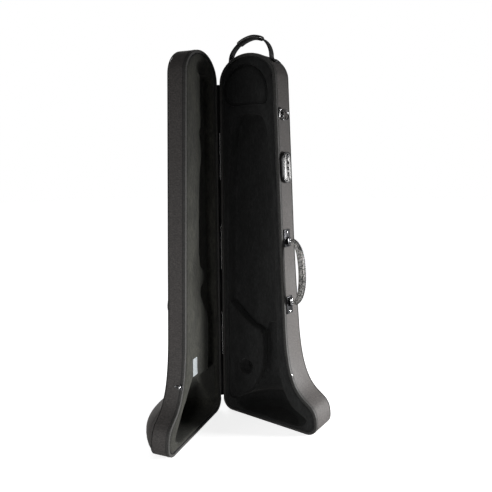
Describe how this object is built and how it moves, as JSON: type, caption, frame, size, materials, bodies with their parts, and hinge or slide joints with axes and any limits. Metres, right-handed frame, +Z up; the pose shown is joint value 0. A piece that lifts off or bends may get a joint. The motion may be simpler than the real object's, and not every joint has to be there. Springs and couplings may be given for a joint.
{
  "type": "trombone case",
  "caption": "Tall musical instrument case, flared at the bell end, standing open, with plush lining, accessory compartment, zip with combination lock and carrying handles.",
  "frame": {"origin": "middle of the footprint of the open case, on the ground", "axes": "+X across the base from the hinge to the latch side, +Y from the open face of the base to its back, +Z up towards the top handle"},
  "size_m": [0.3684, 0.4108, 0.9653],
  "materials": {
    "woven_cover": "ribbed black nylon over a hard shell",
    "edge_band_fabric": "smooth fabric edge",
    "zip_teeth": "moulded zip teeth on tape",
    "piping_fabric": "corded seam",
    "base_plush": "short black plush over moulded foam",
    "lid_plush": "short dark plush over moulded foam",
    "tag": "plain white woven tag",
    "pocket_fabric": "black nylon",
    "leather": "black leather, half gloss",
    "webbing": "black webbing",
    "chrome": "bright plate",
    "dark_metal": "dark plated metal",
    "hinge_metal": "black coated steel",
    "black_plastic": "half-gloss moulding"
  },
  "bodies": {
    "base": {"base_edge_band": "edge_band_fabric", "base_liner": "base_plush", "base_piping": "piping_fabric", "base_shell": "woven_cover", "base_zip_row": "zip_teeth", "compartment_fold": "webbing", "hinge_leaf_base": "hinge_metal", "hinge_pin": "hinge_metal", "lock_body": "black_plastic", "lock_face": "chrome", "lock_shaft": "dark_metal", "mouthpiece_block": "base_plush", "ring_rivet": "chrome", "ring_tab": "leather", "side_mount_lower": "dark_metal", "side_mount_upper": "dark_metal", "side_rivet_lower": "chrome", "side_rivet_upper": "chrome", "top_handle_strap": "webbing", "top_handle_wrap": "leather", "top_patch_left": "leather", "top_patch_right": "leather", "top_rivet_left": "chrome", "top_rivet_right": "chrome", "zip_end_stop": "chrome"},
    "lid": {"lid_edge_band": "edge_band_fabric", "lid_label": "tag", "lid_liner": "lid_plush", "lid_piping": "piping_fabric", "lid_pocket": "pocket_fabric", "lid_shell": "woven_cover", "lid_zip_row": "zip_teeth", "hinge_leaf_lid": "hinge_metal", "zip_slider": "dark_metal"},
    "compartment_cover": {"compartment_lid": "base_plush"},
    "carry_handle": {"side_handle_grip": "leather", "side_handle_end_upper": "chrome", "side_handle_end_lower": "chrome"},
    "strap_loop": {"strap_ring": "chrome"},
    "dial_1": {"lock_dial_1": "black_plastic"},
    "dial_2": {"lock_dial_2": "black_plastic"},
    "dial_3": {"lock_dial_3": "black_plastic"},
    "release_button": {"lock_button": "dark_metal"},
    "puller": {"zip_puller": "chrome"}
  },
  "joints": [
    {"name": "lid_hinge", "type": "hinge", "parent": "base", "child": "lid", "pos_m": [-0.10481, 0.0862, 0], "axis": [0, 0, -1], "range_deg": [-76.5, 98.5]},
    {"name": "compartment_lid_hinge", "type": "hinge", "parent": "base", "child": "compartment_cover", "pos_m": [-0.10481, 0.0896, 0.7985], "axis": [1, 0, 0], "range_deg": [0, 100]},
    {"name": "carry_handle_swing", "type": "hinge", "parent": "base", "child": "carry_handle", "pos_m": [0.0945, 0.1087, 0.39839], "axis": [-0.0519, 0, 0.9987], "range_deg": [-75, 75]},
    {"name": "strap_ring_swing", "type": "hinge", "parent": "base", "child": "strap_loop", "pos_m": [0.072, 0.1057, 0.77323], "axis": [0.0519, 0, -0.9987], "range_deg": [0, 140]},
    {"name": "lock_button_press", "type": "slide", "parent": "base", "child": "release_button", "axis": [-0.9987, 0, -0.0519], "range_m": [0, 0.0015], "stiffness_N_per_m": 400},
    {"name": "zip_puller_swing", "type": "hinge", "parent": "lid", "child": "puller", "pos_m": [-0.05853, -0.1314, 0.14899], "axis": [-0.0879, 0.3662, 0.9264], "range_deg": [0, 125]},
    {"name": "dial_1_turn", "type": "hinge", "parent": "base", "child": "dial_1", "pos_m": [0.08103, 0.113, 0.63435], "axis": [-0.0519, 0, 0.9987], "continuous": true},
    {"name": "dial_2_turn", "type": "hinge", "parent": "base", "child": "dial_2", "pos_m": [0.0803, 0.113, 0.64833], "axis": [-0.0519, 0, 0.9987], "continuous": true},
    {"name": "dial_3_turn", "type": "hinge", "parent": "base", "child": "dial_3", "pos_m": [0.07957, 0.113, 0.66231], "axis": [-0.0519, 0, 0.9987], "continuous": true}
  ]
}
